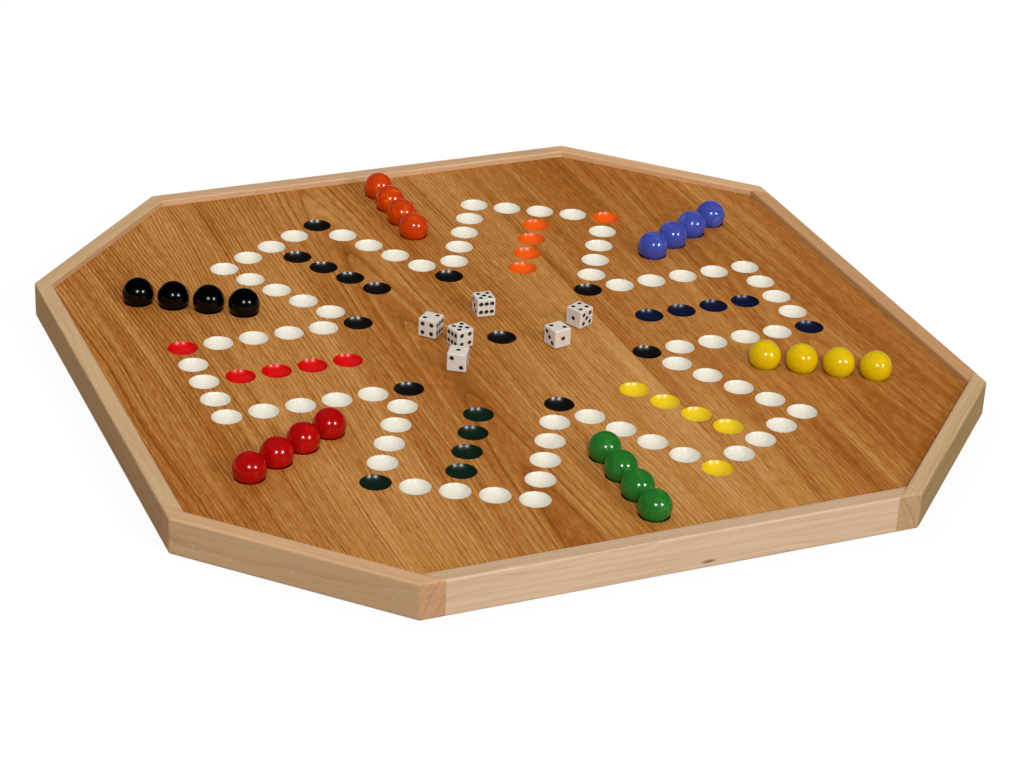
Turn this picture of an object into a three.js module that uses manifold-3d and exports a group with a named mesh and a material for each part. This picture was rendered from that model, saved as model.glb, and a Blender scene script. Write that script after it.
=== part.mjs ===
// A six-player marble race board: an eight-sided oak deck with dished holes, a frame of
// eight maple rails, twenty-four glass marbles in their base holes and six dice thrown on the deck.
// Millimetres, +Z up. The origin is on the table, under the middle of the board. The front is -Y.
import * as THREE from 'three';
import { mergeVertices } from 'three/addons/utils/BufferGeometryUtils.js';
import Module from 'manifold-3d';

// Marbles and the holes that they sit in
const MARBLE_DIAMETER = 24.5;
const MARBLE_SPACING = 3.44;      // free space between marbles in neighbouring holes
const HOLE_LAND = 5.24;           // deck left between the mouths of neighbouring holes
const HOLE_DEPTH = 5.8;           // flat floor of a hole below the deck's face
const CUTTER_RADIUS = 9.5;        // the round-nosed cutter that shapes a hole's wall
const SEAT_GAP = 0.3;             // between a marble or a die and what it rests on

// The track: six arms like the spokes of a wheel, each three holes wide at its end
const ARM_TURN = Math.PI / 3;     // between neighbouring arms
const ARM_SIDE_HOLES = 5;         // holes down each side of an arm, past the inner corner hole
const ARM_HALF_WIDTH = 2;         // hole pitches from an arm's middle row to its side rows
const HOME_HOLES = 4;             // holes in an arm's middle row
const BASE_HOLES = 4;             // holes in the row where a player's marbles wait
const CORNER_ROW_GAP = 89.4;      // inner corner hole to the first base hole, in rows towards a corner
const RAIL_ROW_GAP = 81;          // the same, in the two rows straight towards a long rail

// The deck and its frame
const DECK_THICKNESS = 18;
const DECK_MARGIN = 16.85;        // deck left outside the outermost hole
const RAIL_THICKNESS = 12.7;
const LIP_ABOVE = 5.3;            // rail standing above the deck's face
const LIP_BELOW = 5.3;            // rail reaching below the deck's back, which the board stands on
const SHORT_SIDE = 185.4;         // outer length of each rail that cuts a corner off the square
const EDGE_EASE = 1.7;            // radius of the rails' rounded long edges
const GLUE_LINE = 0.2;            // between glued faces

// The brads through the short rails into the deck
const BRADS_PER_RAIL = 3;
const BRAD_LENGTH = 32;
const BRAD_SHANK = 1.6;
const BRAD_HEAD = 2.6;
const BRAD_HEAD_HEIGHT = 1.1;
const BRAD_POINT = 2.4;           // length of the tapered tip
const BRAD_SET = 0.8;             // head driven below the rail's face
const BRAD_INSET = 18.7;          // end brads from the rail's outer corners
const BRAD_RISE = 6.3;            // brads above the deck's back
const BRAD_CLEARANCE = 0.2;

// The dice
const DIE_EDGE = 15;
const DIE_EASE = 1.1;             // flat that breaks each edge
const PIP_DIAMETER = 3.6;
const PIP_DEPTH = 0.7;
const PIP_MARGIN = 2.05;          // face left outside the outer pips
const SIX_END_MARGIN = 1.3;       // face left past the ends of the six's rows
const SIX_SIDE_MARGIN = 2.3;      // face left beside the six's rows

// Facets
const ROUND_SIDES = 12;           // around a hole and around a marble
const MARBLE_BANDS = 8;
const BRAD_SIDES = 6;
const PIP_SIDES = 6;
const EASE_STEPS = 2;
const WALL_STEPS = 2;             // up the wall of a hole
const OVERCUT = 1;                // how far a cutter runs past the face that it opens

// Sizes worked out from the driving ones
const MARBLE_RADIUS = MARBLE_DIAMETER / 2;
const PITCH = MARBLE_DIAMETER + MARBLE_SPACING;
const MOUTH_RADIUS = (PITCH - HOLE_LAND) / 2;
const WALL_TURN = Math.acos(1 - HOLE_DEPTH / CUTTER_RADIUS);
const FLOOR_RADIUS = MOUTH_RADIUS - CUTTER_RADIUS * Math.sin(WALL_TURN);
const ARM_ROOT = ARM_HALF_WIDTH * Math.sqrt(3) * PITCH;
const INNER_RADIUS = 2 * ARM_HALF_WIDTH * PITCH;
const ARM_REACH = ARM_ROOT + ARM_SIDE_HOLES * PITCH;
const ROW_LENGTH = (BASE_HOLES - 1) * PITCH;
const RAIL_ROW_REACH = INNER_RADIUS + RAIL_ROW_GAP + ROW_LENGTH;
const CORNER_ROW_REACH = (INNER_RADIUS + CORNER_ROW_GAP + ROW_LENGTH) * Math.cos(ARM_TURN / 2);
const DECK_HALF = Math.max(ARM_REACH, RAIL_ROW_REACH, CORNER_ROW_REACH) + MOUTH_RADIUS + DECK_MARGIN;
const FRAME_HALF = DECK_HALF + GLUE_LINE + RAIL_THICKNESS;
const CORNER_HALF = Math.SQRT2 * FRAME_HALF - SHORT_SIDE / 2;
const RAIL_HEIGHT = LIP_BELOW + DECK_THICKNESS + LIP_ABOVE;
const DECK_TOP = LIP_BELOW + DECK_THICKNESS;
const BRAD_LEVEL = LIP_BELOW + BRAD_RISE;
const PIP_REACH = (DIE_EDGE - PIP_DIAMETER) / 2;
const PIP_SPREAD = PIP_REACH - PIP_MARGIN;
const SIX_LONG = PIP_REACH - SIX_END_MARGIN;
const SIX_WIDE = PIP_REACH - SIX_SIDE_MARGIN;

// A marble touches the floor of its hole, or the hole's mouth where the hole is narrow or deep.
const FLOOR_SEAT = MARBLE_RADIUS - HOLE_DEPTH;
const MOUTH_SEAT = Math.sqrt(Math.max(MARBLE_RADIUS ** 2 - MOUTH_RADIUS ** 2, 0));
const MARBLE_LEVEL = DECK_TOP + Math.max(FLOOR_SEAT, MOUTH_SEAT) + SEAT_GAP;

// Each player's colour, in the order of the arms, anticlockwise from +X
const PLAYERS = [
  { name: 'blue', colour: 0x3d4fb4, rowGap: CORNER_ROW_GAP },
  { name: 'orange', colour: 0xdc4a10, rowGap: RAIL_ROW_GAP },
  { name: 'black', colour: 0x121214, rowGap: CORNER_ROW_GAP },
  { name: 'red', colour: 0xb8141c, rowGap: CORNER_ROW_GAP },
  { name: 'green', colour: 0x1d6b2c, rowGap: RAIL_ROW_GAP },
  { name: 'yellow', colour: 0xe0b40c, rowGap: CORNER_ROW_GAP },
];

// The rails, anticlockwise: the long ones face +X, +Y, -X and -Y, and the short ones half way between
const LONG_RAILS = ['right', 'back', 'left', 'front'];
const SHORT_RAILS = ['back_right', 'back_left', 'front_left', 'front_right'];
const RAIL_TURN = Math.PI / 2;    // between neighbouring long rails, and between neighbouring short ones

// The throw: each die's place in die edges, its turn in degrees, and its top and front numbers
const THROW = [
  { place: [-3.35, 1.41], turn: 43.8, top: 2, front: 6 },
  { place: [-2.35, -0.12], turn: 13.5, top: 5, front: 4 },
  { place: [-3.37, -2.43], turn: 58.5, top: 1, front: 3 },
  { place: [0.12, 2.83], turn: -4.5, top: 5, front: 6 },
  { place: [2.41, -1.54], turn: 12.5, top: 2, front: 1 },
  { place: [4.38, 0.17], turn: 26.1, top: 4, front: 5 },
];

const OAK = new THREE.MeshStandardMaterial({ color: 0xa8753c, roughness: 0.45, metalness: 0 });
const MAPLE = new THREE.MeshStandardMaterial({ color: 0xd3ac80, roughness: 0.5, metalness: 0 });
const STEEL = new THREE.MeshStandardMaterial({ color: 0xa9adb2, roughness: 0.35, metalness: 1 });
const IVORY_PLASTIC = new THREE.MeshStandardMaterial({ color: 0xf0eee8, roughness: 0.3, metalness: 0 });

const wasm = await Module();
wasm.setup();

// A closed three.js geometry as a solid that can be joined and cut
function toSolid(geometry) {
  const bare = geometry.clone();
  bare.deleteAttribute('normal');
  bare.deleteAttribute('uv');
  const merged = mergeVertices(bare);
  const corners = Array.from(merged.index.array);
  const kept = [];
  for (let i = 0; i < corners.length; i += 3) {
    const [a, b, c] = corners.slice(i, i + 3);
    if (a !== b && b !== c && c !== a) {
      kept.push(a, b, c);
    }
  }
  const vertProperties = new Float32Array(merged.attributes.position.array);
  return new wasm.Manifold(new wasm.Mesh({ numProp: 3, vertProperties, triVerts: new Uint32Array(kept) }));
}

// A solid as a three.js geometry
function toGeometry(solid) {
  const mesh = solid.getMesh();
  const geometry = new THREE.BufferGeometry();
  geometry.setAttribute('position', new THREE.BufferAttribute(mesh.vertProperties, 3));
  geometry.setIndex(new THREE.BufferAttribute(mesh.triVerts, 1));
  geometry.computeVertexNormals();
  return geometry;
}

// A solid of revolution about Z, from [radius, height] points that run from the bottom to the top
function turned(points, sides) {
  const profile = points.map(([radius, height]) => new THREE.Vector2(radius, height));
  return new THREE.LatheGeometry(profile, sides).rotateX(Math.PI / 2);
}

// A prism with a flat outline in X and Y, standing from z = 0
function prism(outline, height) {
  const shape = new THREE.Shape(outline.map(([x, y]) => new THREE.Vector2(x, y)));
  return new THREE.ExtrudeGeometry(shape, { depth: height, bevelEnabled: false });
}

function named(name, geometry, material) {
  const mesh = new THREE.Mesh(geometry, material);
  mesh.name = name;
  return mesh;
}

function polar(radius, angle) {
  return new THREE.Vector2(radius * Math.cos(angle), radius * Math.sin(angle));
}

// The arm that points along +X: its side rows, its end row and its home row
function armHoles() {
  const holes = [];
  for (let step = 1; step <= ARM_SIDE_HOLES; step += 1) {
    for (const side of [-ARM_HALF_WIDTH, ARM_HALF_WIDTH]) {
      holes.push(new THREE.Vector2(ARM_ROOT + step * PITCH, side * PITCH));
    }
  }
  for (let across = 1 - ARM_HALF_WIDTH; across < ARM_HALF_WIDTH; across += 1) {
    holes.push(new THREE.Vector2(ARM_REACH, across * PITCH));
  }
  for (let step = 1; step <= HOME_HOLES; step += 1) {
    holes.push(new THREE.Vector2(ARM_ROOT + step * PITCH, 0));
  }
  return holes;
}

// The row where one player's marbles wait, half an arm's turn past that player's arm
function baseHoles(player) {
  const angle = (player + 0.5) * ARM_TURN;
  const start = INNER_RADIUS + PLAYERS[player].rowGap;
  const holes = [];
  for (let step = 0; step < BASE_HOLES; step += 1) {
    holes.push(polar(start + step * PITCH, angle));
  }
  return holes;
}

// Every hole's middle: the centre, the inner corners, the arms and the base rows
function allHoles() {
  const middle = new THREE.Vector2();
  const holes = [middle];
  PLAYERS.forEach((_, player) => {
    const angle = player * ARM_TURN;
    holes.push(polar(INNER_RADIUS, angle + ARM_TURN / 2));
    holes.push(...armHoles().map((hole) => hole.rotateAround(middle, angle)));
    holes.push(...baseHoles(player));
  });
  return holes;
}

// How far each rail is turned from one that faces +Y
function longTurn(index) {
  return (index - 1) * RAIL_TURN;
}

function shortTurn(index) {
  return (index - 0.5) * RAIL_TURN;
}

// What is cut out for one hole, with its mouth at z = 0: a small flat floor inside a rounded wall
function dishCutter() {
  const points = [[0, -HOLE_DEPTH]];
  for (let step = 0; step <= WALL_STEPS; step += 1) {
    const turn = WALL_TURN * step / WALL_STEPS;
    const rise = CUTTER_RADIUS * (1 - Math.cos(turn));
    points.push([FLOOR_RADIUS + CUTTER_RADIUS * Math.sin(turn), rise - HOLE_DEPTH]);
  }
  points.push([MOUTH_RADIUS, OVERCUT], [0, OVERCUT]);
  return toSolid(turned(points, ROUND_SIDES));
}

// A brad, with its axis along Y, its point towards -Y and the top of its head at y = 0
function bradGeometry() {
  const shank = BRAD_SHANK / 2;
  const head = BRAD_HEAD / 2;
  const points = [
    [0, -BRAD_LENGTH],
    [shank, BRAD_POINT - BRAD_LENGTH],
    [shank, -BRAD_HEAD_HEIGHT],
    [head, -BRAD_HEAD_HEIGHT],
    [head, 0],
    [0, 0],
  ];
  return new THREE.LatheGeometry(points.map(([x, y]) => new THREE.Vector2(x, y)), BRAD_SIDES);
}

// The bore that a brad leaves, open outwards past the rail's face
function bradCutter() {
  const shank = BRAD_SHANK / 2 + BRAD_CLEARANCE;
  const head = BRAD_HEAD / 2 + BRAD_CLEARANCE;
  const shoulder = -BRAD_HEAD_HEIGHT - BRAD_CLEARANCE;
  const points = [
    [0, -BRAD_LENGTH - BRAD_CLEARANCE],
    [shank, -BRAD_LENGTH - BRAD_CLEARANCE],
    [shank, shoulder],
    [head, shoulder],
    [head, BRAD_SET + OVERCUT],
    [0, BRAD_SET + OVERCUT],
  ];
  const geometry = new THREE.LatheGeometry(points.map(([x, y]) => new THREE.Vector2(x, y)), BRAD_SIDES);
  return toSolid(geometry);
}

// Where the brads stand along a short rail, measured from its middle
function bradPlaces() {
  const reach = SHORT_SIDE / 2 - BRAD_INSET;
  const places = [];
  for (let index = 0; index < BRADS_PER_RAIL; index += 1) {
    places.push(reach * (2 * index / (BRADS_PER_RAIL - 1) - 1));
  }
  return places;
}

// A rail lies along X, with its outer face at y = distance and its underside at z = 0. Its long edges
// are rounded, and its ends follow the plan outline.
function railSolid(distance, outline) {
  const inner = distance - RAIL_THICKNESS;
  const reach = Math.max(...outline.map(([x]) => Math.abs(x))) + OVERCUT;
  const section = new THREE.Shape();
  section.absarc(inner + EDGE_EASE, EDGE_EASE, EDGE_EASE, Math.PI, 1.5 * Math.PI);
  section.absarc(distance - EDGE_EASE, EDGE_EASE, EDGE_EASE, 1.5 * Math.PI, 2 * Math.PI);
  section.absarc(distance - EDGE_EASE, RAIL_HEIGHT - EDGE_EASE, EDGE_EASE, 0, Math.PI / 2);
  section.absarc(inner + EDGE_EASE, RAIL_HEIGHT - EDGE_EASE, EDGE_EASE, Math.PI / 2, Math.PI);
  const settings = { depth: 2 * reach, bevelEnabled: false, curveSegments: EASE_STEPS };
  const bar = new THREE.ExtrudeGeometry(section, settings);
  bar.translate(0, 0, -reach);
  bar.applyMatrix4(new THREE.Matrix4().set(0, 0, 1, 0, 1, 0, 0, 0, 0, 1, 0, 0, 0, 0, 0, 1));
  return toSolid(bar).intersect(toSolid(prism(outline, RAIL_HEIGHT)));
}

// A long rail's ends lie against the short rails' inner faces.
function longRail() {
  const inner = FRAME_HALF - RAIL_THICKNESS;
  const line = Math.SQRT2 * (CORNER_HALF - RAIL_THICKNESS - GLUE_LINE);
  const outline = [
    [inner - line, inner],
    [line - inner, inner],
    [line - FRAME_HALF, FRAME_HALF],
    [FRAME_HALF - line, FRAME_HALF],
  ];
  return railSolid(FRAME_HALF, outline);
}

// A short rail runs over the long rails' ends, and is trimmed flush with their outer faces.
function shortRail() {
  const half = SHORT_SIDE / 2;
  const inner = CORNER_HALF - RAIL_THICKNESS;
  const outline = [
    [-half - RAIL_THICKNESS, inner],
    [half + RAIL_THICKNESS, inner],
    [half, CORNER_HALF],
    [-half, CORNER_HALF],
  ];
  let rail = railSolid(CORNER_HALF, outline);
  for (const place of bradPlaces()) {
    rail = rail.subtract(bradCutter().translate([place, CORNER_HALF - BRAD_SET, BRAD_LEVEL]));
  }
  return rail;
}

// The deck: an eight-sided panel with its holes and the brads' bores
function deckSolid() {
  const cornerHalf = CORNER_HALF - RAIL_THICKNESS - GLUE_LINE;
  const end = Math.SQRT2 * cornerHalf - DECK_HALF;
  const outline = [
    [DECK_HALF, -end], [DECK_HALF, end], [end, DECK_HALF], [-end, DECK_HALF],
    [-DECK_HALF, end], [-DECK_HALF, -end], [-end, -DECK_HALF], [end, -DECK_HALF],
  ];
  let deck = toSolid(prism(outline, DECK_THICKNESS).translate(0, 0, LIP_BELOW));
  const dish = dishCutter();
  for (const hole of allHoles()) {
    deck = deck.subtract(dish.translate([hole.x, hole.y, DECK_TOP]));
  }
  const bore = bradCutter();
  SHORT_RAILS.forEach((_, index) => {
    const turn = THREE.MathUtils.radToDeg(shortTurn(index));
    for (const place of bradPlaces()) {
      const set = bore.translate([place, CORNER_HALF - BRAD_SET, BRAD_LEVEL]);
      deck = deck.subtract(set.rotate([0, 0, turn]));
    }
  });
  return deck;
}

// Where the pips lie on each face: the face's outward direction, and the pips' places on it
function pipFaces() {
  const s = PIP_SPREAD;
  const corners = [[-s, -s], [-s, s], [s, -s], [s, s]];
  const rows = [-SIX_WIDE, SIX_WIDE].flatMap((y) => [-SIX_LONG, 0, SIX_LONG].map((z) => [y, z]));
  return {
    1: { out: [1, 0, 0], pips: [[0, 0, 0]] },
    2: { out: [0, 1, 0], pips: [[s, 0, -s], [-s, 0, s]] },
    3: { out: [0, 0, 1], pips: [[-s, s, 0], [0, 0, 0], [s, -s, 0]] },
    4: { out: [0, 0, -1], pips: corners.map(([x, y]) => [x, y, 0]) },
    5: { out: [0, -1, 0], pips: [[0, 0, 0], ...corners.map(([x, z]) => [x, 0, z])] },
    6: { out: [-1, 0, 0], pips: rows.map(([y, z]) => [0, y, z]) },
  };
}

// A die about its own middle, with its edges broken and its pips sunk in
function dieSolid(faces) {
  const half = DIE_EDGE / 2;
  const flat = half - DIE_EASE;
  const outline = [
    [half, -flat], [half, flat], [flat, half], [-flat, half],
    [-half, flat], [-half, -flat], [-flat, -half], [flat, -half],
  ];
  const slab = toSolid(prism(outline, DIE_EDGE).translate(0, 0, -half));
  const alongX = slab.rotate([0, 90, 0]);
  const alongY = slab.rotate([90, 0, 0]);
  let die = slab.intersect(alongX).intersect(alongY);
  const pit = [[0, -PIP_DEPTH], [PIP_DIAMETER / 2, 0], [PIP_DIAMETER / 2, OVERCUT], [0, OVERCUT]];
  const up = new THREE.Vector3(0, 0, 1);
  for (const { out, pips } of Object.values(faces)) {
    const outward = new THREE.Vector3(...out);
    const turn = new THREE.Matrix4().makeRotationFromQuaternion(
      new THREE.Quaternion().setFromUnitVectors(up, outward));
    const cutter = toSolid(turned(pit, PIP_SIDES).applyMatrix4(turn));
    for (const pip of pips) {
      const place = outward.clone().multiplyScalar(half).add(new THREE.Vector3(...pip));
      die = die.subtract(cutter.translate(place.toArray()));
    }
  }
  return die;
}

// The turn that brings one number to the top and another to the front
function dieTurn(faces, top, front) {
  const up = new THREE.Vector3(...faces[top].out);
  const back = new THREE.Vector3(...faces[front].out).negate();
  const right = new THREE.Vector3().crossVectors(back, up);
  return new THREE.Matrix4().makeBasis(right, back, up).transpose();
}

function makeFrame() {
  const frame = new THREE.Group();
  frame.add(named('deck_panel', toGeometry(deckSolid()), OAK));
  LONG_RAILS.forEach((side, index) => {
    const rail = named(`long_rail_${side}`, toGeometry(longRail()), MAPLE);
    rail.rotation.z = longTurn(index);
    frame.add(rail);
  });
  SHORT_RAILS.forEach((corner, index) => {
    const set = new THREE.Group();
    set.rotation.z = shortTurn(index);
    set.add(named(`short_rail_${corner}`, toGeometry(shortRail()), MAPLE));
    bradPlaces().forEach((place, count) => {
      const brad = named(`brad_${corner}_${count + 1}`, bradGeometry(), STEEL);
      brad.position.set(place, CORNER_HALF - BRAD_SET, BRAD_LEVEL);
      set.add(brad);
    });
    frame.add(set);
  });
  return frame;
}

function makeMarbles() {
  const marbles = new THREE.Group();
  PLAYERS.forEach(({ name, colour }, player) => {
    const glass = new THREE.MeshStandardMaterial({ color: colour, roughness: 0.08, metalness: 0 });
    baseHoles(player).forEach((hole, index) => {
      const ball = new THREE.SphereGeometry(MARBLE_RADIUS, ROUND_SIDES, MARBLE_BANDS).rotateX(Math.PI / 2);
      const marble = named(`marble_${name}_${index + 1}`, ball, glass);
      marble.position.set(hole.x, hole.y, MARBLE_LEVEL);
      marbles.add(marble);
    });
  });
  return marbles;
}

function makeDice() {
  const dice = new THREE.Group();
  const faces = pipFaces();
  const solid = dieSolid(faces);
  THROW.forEach(({ place, turn, top, front }, index) => {
    const die = named(`die_${index + 1}`, toGeometry(solid), IVORY_PLASTIC);
    die.geometry.applyMatrix4(dieTurn(faces, top, front));
    die.position.set(place[0] * DIE_EDGE, place[1] * DIE_EDGE, DECK_TOP + SEAT_GAP + DIE_EDGE / 2);
    die.rotation.z = THREE.MathUtils.degToRad(turn);
    dice.add(die);
  });
  return dice;
}

const board = new THREE.Group();
board.add(makeFrame(), makeMarbles(), makeDice());

export default board;
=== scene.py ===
# The looks of a six-player marble race board: its oak deck with painted holes, its maple rails,
# the glass marbles in their base rows and the dice. Metres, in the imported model's frame: +Z up,
# the front towards -Y and the origin on the table, under the middle of the board.
import math
import random

import bmesh
import bpy
from mathutils import Matrix, Quaternion, Vector, noise
from mathutils.geometry import delaunay_2d_cdt


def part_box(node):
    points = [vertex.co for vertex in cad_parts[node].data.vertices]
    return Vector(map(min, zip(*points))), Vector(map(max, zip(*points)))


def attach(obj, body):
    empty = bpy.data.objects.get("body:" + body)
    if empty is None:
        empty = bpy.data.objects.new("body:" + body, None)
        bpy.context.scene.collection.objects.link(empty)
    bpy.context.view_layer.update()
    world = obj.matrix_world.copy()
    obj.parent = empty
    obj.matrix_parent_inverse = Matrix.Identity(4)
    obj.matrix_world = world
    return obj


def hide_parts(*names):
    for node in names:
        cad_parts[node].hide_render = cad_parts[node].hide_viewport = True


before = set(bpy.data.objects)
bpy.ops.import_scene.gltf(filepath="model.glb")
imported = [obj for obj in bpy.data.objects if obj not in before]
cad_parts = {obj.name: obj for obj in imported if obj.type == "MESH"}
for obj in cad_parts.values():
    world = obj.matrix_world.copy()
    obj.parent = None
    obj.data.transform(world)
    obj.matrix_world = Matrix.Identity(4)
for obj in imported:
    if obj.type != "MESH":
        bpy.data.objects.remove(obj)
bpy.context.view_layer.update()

MM = 0.001
ROOT_TWO = math.sqrt(2)


def middle(node):
    low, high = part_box(node)
    return (low + high) / 2


# Sizes read from the frame
PLAYERS = ("blue", "orange", "black", "red", "green", "yellow")
MARBLES_EACH = 4
DICE = 6
BRADS_PER_RAIL = 3
deck_low, deck_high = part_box("deck_panel")
rail_low, rail_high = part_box("long_rail_right")
corner_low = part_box("short_rail_back_right")[0]
marble_low, marble_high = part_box("marble_blue_1")
die_low, die_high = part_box("die_1")
DECK_TOP = deck_high.z
DECK_BACK = deck_low.z
RAIL_TOP = rail_high.z
FRAME_HALF = rail_high.x
RAIL_THICKNESS = rail_high.x - rail_low.x
CORNER = corner_low.x + ROOT_TWO * RAIL_THICKNESS
SHORT_HALF = (FRAME_HALF - CORNER) / ROOT_TWO
CORNER_HALF = (FRAME_HALF + CORNER) / ROOT_TWO
MARBLE_RADIUS = (marble_high.z - marble_low.z) / 2
DIE_EDGE = die_high.z - die_low.z
PITCH = (middle("marble_blue_2") - middle("marble_blue_1")).length

# The track, as the deck's holes are laid out
ARM_TURN = math.tau / len(PLAYERS)
ARM_SIDE_HOLES = 5
ARM_HALF_WIDTH = 2
HOME_HOLES = 4
ARM_ROOT = ARM_HALF_WIDTH * math.sqrt(3) * PITCH
ARM_REACH = ARM_ROOT + ARM_SIDE_HOLES * PITCH
INNER_RADIUS = 2 * ARM_HALF_WIDTH * PITCH

# The holes
MOUTH_RADIUS = 11.35 * MM
HOLE_DEPTH = 5.8 * MM
CUTTER_RADIUS = 9.5 * MM
LIP_EASE = 0.2 * MM
DISH_RINGS = 9
HOLE_SIDES = 44

# The rails and their brads
EDGE_EASE = 1.7 * MM
INNER_EASE = 0.9
EASE_SEGMENTS = 5
FILLER_RADIUS = 1.35 * MM
FILLER_DEPTH = 0.7 * MM
FILLER_PROUD = 0.03 * MM
FILLER_SIDES = 20
FILLER_BACK = 0.9
FILLER_DOME = ((1, 0), (0.93, 1), (0.5, 0.6))
FILLER_DIMPLE = 0.4

# The dice
DIE_EASE = 1.15 * MM
DIE_EASE_STEPS = 4
PIP_RADIUS = 1.8 * MM
PIP_DEPTH = 0.7 * MM
PIP_CUTTER = 2.1 * MM
PIP_LIP = 0.05 * MM
PIP_SPREAD = 3.65 * MM
SIX_LONG = 4.4 * MM / PIP_SPREAD
SIX_WIDE = 3.4 * MM / PIP_SPREAD
SIX_PLACES = [(0, side * SIX_WIDE, step * SIX_LONG) for side in (-1, 1) for step in (-1, 0, 1)]
PIP_SIDES = 20
PIP_RINGS = 3

# The marbles
MARBLE_CUTS = 23
MARBLE_WOBBLE = 0.0012
WOBBLE_SCALE = 1.7
SHEAR_MARK = 0.1 * MM
SHEAR_WIDTH = 0.16
SHEAR_LEAN = 0.6
TURNS_SEED = 7

# Mesh making
WELD_REACH = 0.001 * MM
POINT_REACH = 1e-9
INSIDE_ONLY = 1


# Colours

def srgb(red, green, blue):
    """A colour as it looks on a screen, 0 to 255, as the linear colour that a shader reads."""
    linear = []
    for level in (red, green, blue):
        share = level / 255
        linear.append(share / 12.92 if share <= 0.04045 else ((share + 0.055) / 1.055) ** 2.4)
    return (*linear, 1)


# Shader sums

class Wire:
    """A socket in a material's nodes. Sums on it add Math nodes, and node() adds any other node."""

    def __init__(self, tree, socket=None):
        self.tree = tree
        self.socket = socket

    def node(self, kind, settings=None, sockets=None, output=0):
        """A new node. Its settings are set first, and then its sockets get values or wires."""
        made = self.tree.nodes.new("ShaderNode" + kind)
        for name, value in (settings or {}).items():
            if name == "stops":
                self.set_stops(made.color_ramp.elements, value)
            else:
                setattr(made, name, value)
        for name, value in (sockets or {}).items():
            if isinstance(value, Wire):
                self.tree.links.new(value.socket, made.inputs[name])
            else:
                made.inputs[name].default_value = value
        return Wire(self.tree, made.outputs[output] if len(made.outputs) else None)

    @staticmethod
    def set_stops(elements, stops):
        while len(elements) < len(stops):
            elements.new(1)
        for element, (place, colour) in zip(elements, stops):
            element.position = place
            element.color = colour

    def math(self, operation, *values):
        return self.node("Math", {"operation": operation}, dict(enumerate(values)))

    def __add__(self, other):
        return self.math("ADD", self, other)

    def __sub__(self, other):
        return self.math("SUBTRACT", self, other)

    def __rsub__(self, other):
        return self.math("SUBTRACT", other, self)

    def __mul__(self, other):
        return self.math("MULTIPLY", self, other)

    def __truediv__(self, other):
        return self.math("DIVIDE", self, other)

    def __pow__(self, other):
        return self.math("POWER", self, other)

    __radd__ = __add__
    __rmul__ = __mul__

    def floor(self):
        return self.math("FLOOR", self)

    def part(self):
        """What is left over the last whole number."""
        return self.math("FRACT", self)

    def root(self):
        return self.math("SQRT", self)

    def ramp(self, low, high, start=0.0, end=1.0):
        """A smooth step from start to end as the value goes from low to high."""
        settings = {"interpolation_type": "SMOOTHSTEP"}
        return self.node("MapRange", settings, {0: self, 1: low, 2: high, 3: start, 4: end})

    def axes(self):
        """The x, y and z of a place."""
        return [self.node("SeparateXYZ", None, {0: self}, axis) for axis in range(3)]

    def place(self, x, y, z):
        return self.node("CombineXYZ", None, {0: x, 1: y, 2: z})

    def cloud(self, scale=1.0, detail=2.0, rough=0.5):
        """Soft noise from 0 to 1 at this place."""
        sockets = {"Vector": self, "Scale": scale, "Detail": detail, "Roughness": rough}
        return self.node("TexNoise", None, sockets)

    def over(self, share, colour, blend="MIX"):
        """This colour with another one laid over it by a share."""
        settings = {"data_type": "RGBA", "blend_type": blend}
        return self.node("Mix", settings, {0: share, 6: self, 7: colour}, 2)

    def between(self, one, other):
        """A colour from one to the other as this value goes from 0 to 1."""
        return self.node("Mix", {"data_type": "RGBA"}, {0: self, 6: one, 7: other}, 2)

    def bump(self, depth):
        """A normal from this height, where 1 stands for depth."""
        return self.node("Bump", None, {"Distance": depth, "Height": self})


def new_finish(name):
    """An empty material, a wire to its nodes and the place on its piece, in millimetres."""
    material = bpy.data.materials.new(name)
    material.use_nodes = True
    material.node_tree.nodes.clear()
    wire = Wire(material.node_tree)
    place = wire.node("Attribute", {"attribute_name": "grain"}, output="Vector")
    return material, wire, place


def surface(material, wire, **sockets):
    """Closes a material with one shader. Socket names have underscores for spaces."""
    named = {name.replace("_", " "): value for name, value in sockets.items()}
    shader = wire.node("BsdfPrincipled", None, named)
    wire.node("OutputMaterial", None, {"Surface": shader})
    return material


# The oak veneer, in millimetres, with its tones from 0 to 1
LEAF_WIDTH = 290
LEAF_JOINT = -205
LEAF_DARKER = 0.08
HEART_EDGE = (25, 110)
HEART_DARKER = 0.14
TREE_DEPTH = 36
TREE_TAPER = 0.025
OAK_RING = 3.1
SLOW_SWAY = 20
QUICK_SWAY = 1.6
PORE_FADE = 2.1
PORE_EDGE = (0.3, 0.65)
PORE_LEAST = 0.3
OAK_TONE = 0.7
OAK_TONES = [
    (0.0, srgb(112, 54, 8)),
    (0.38, srgb(157, 92, 31)),
    (0.62, srgb(183, 123, 59)),
    (1.0, srgb(211, 161, 98)),
]
OAK_ROUGHNESS = {"oak_satin": 0.36, "oak_bare": 0.62}
PORE_ROUGHNESS = 0.15
FIBRE_ROUGHNESS = 0.1
OAK_RELIEF = 0.05 * MM
PORE_RELIEF = 0.6
FIBRE_RELIEF = 0.5
OAK_GLOSS = 0.05

# Each of the oak's figures: its width, its length, its step from leaf to leaf and its detail
OAK_FIGURES = {
    "slow sway": (80, 300, 7.3, 2),
    "quick sway": (16, 120, 2.9, 2),
    "wide": (55, 420, 1.7, 2),
    "broad": (4.5, 360, 3.1, 2),
    "band": (1.3, 300, 5.3, 3),
    "fine": (0.4, 150, 8.7, 2),
    "fibre": (0.9, 13, 6.1, 3),
    "pores": (1.3, 420, 4.1, 2),
}
WIDE_TONE = 0.6
BROAD_TONE = 0.45
BAND_TONE = 0.4
FINE_TONE = 0.6
FIBRE_TONE = 0.82
SIDE_FIGURE = 0.7
HEART_FIGURE = 0.5

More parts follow.
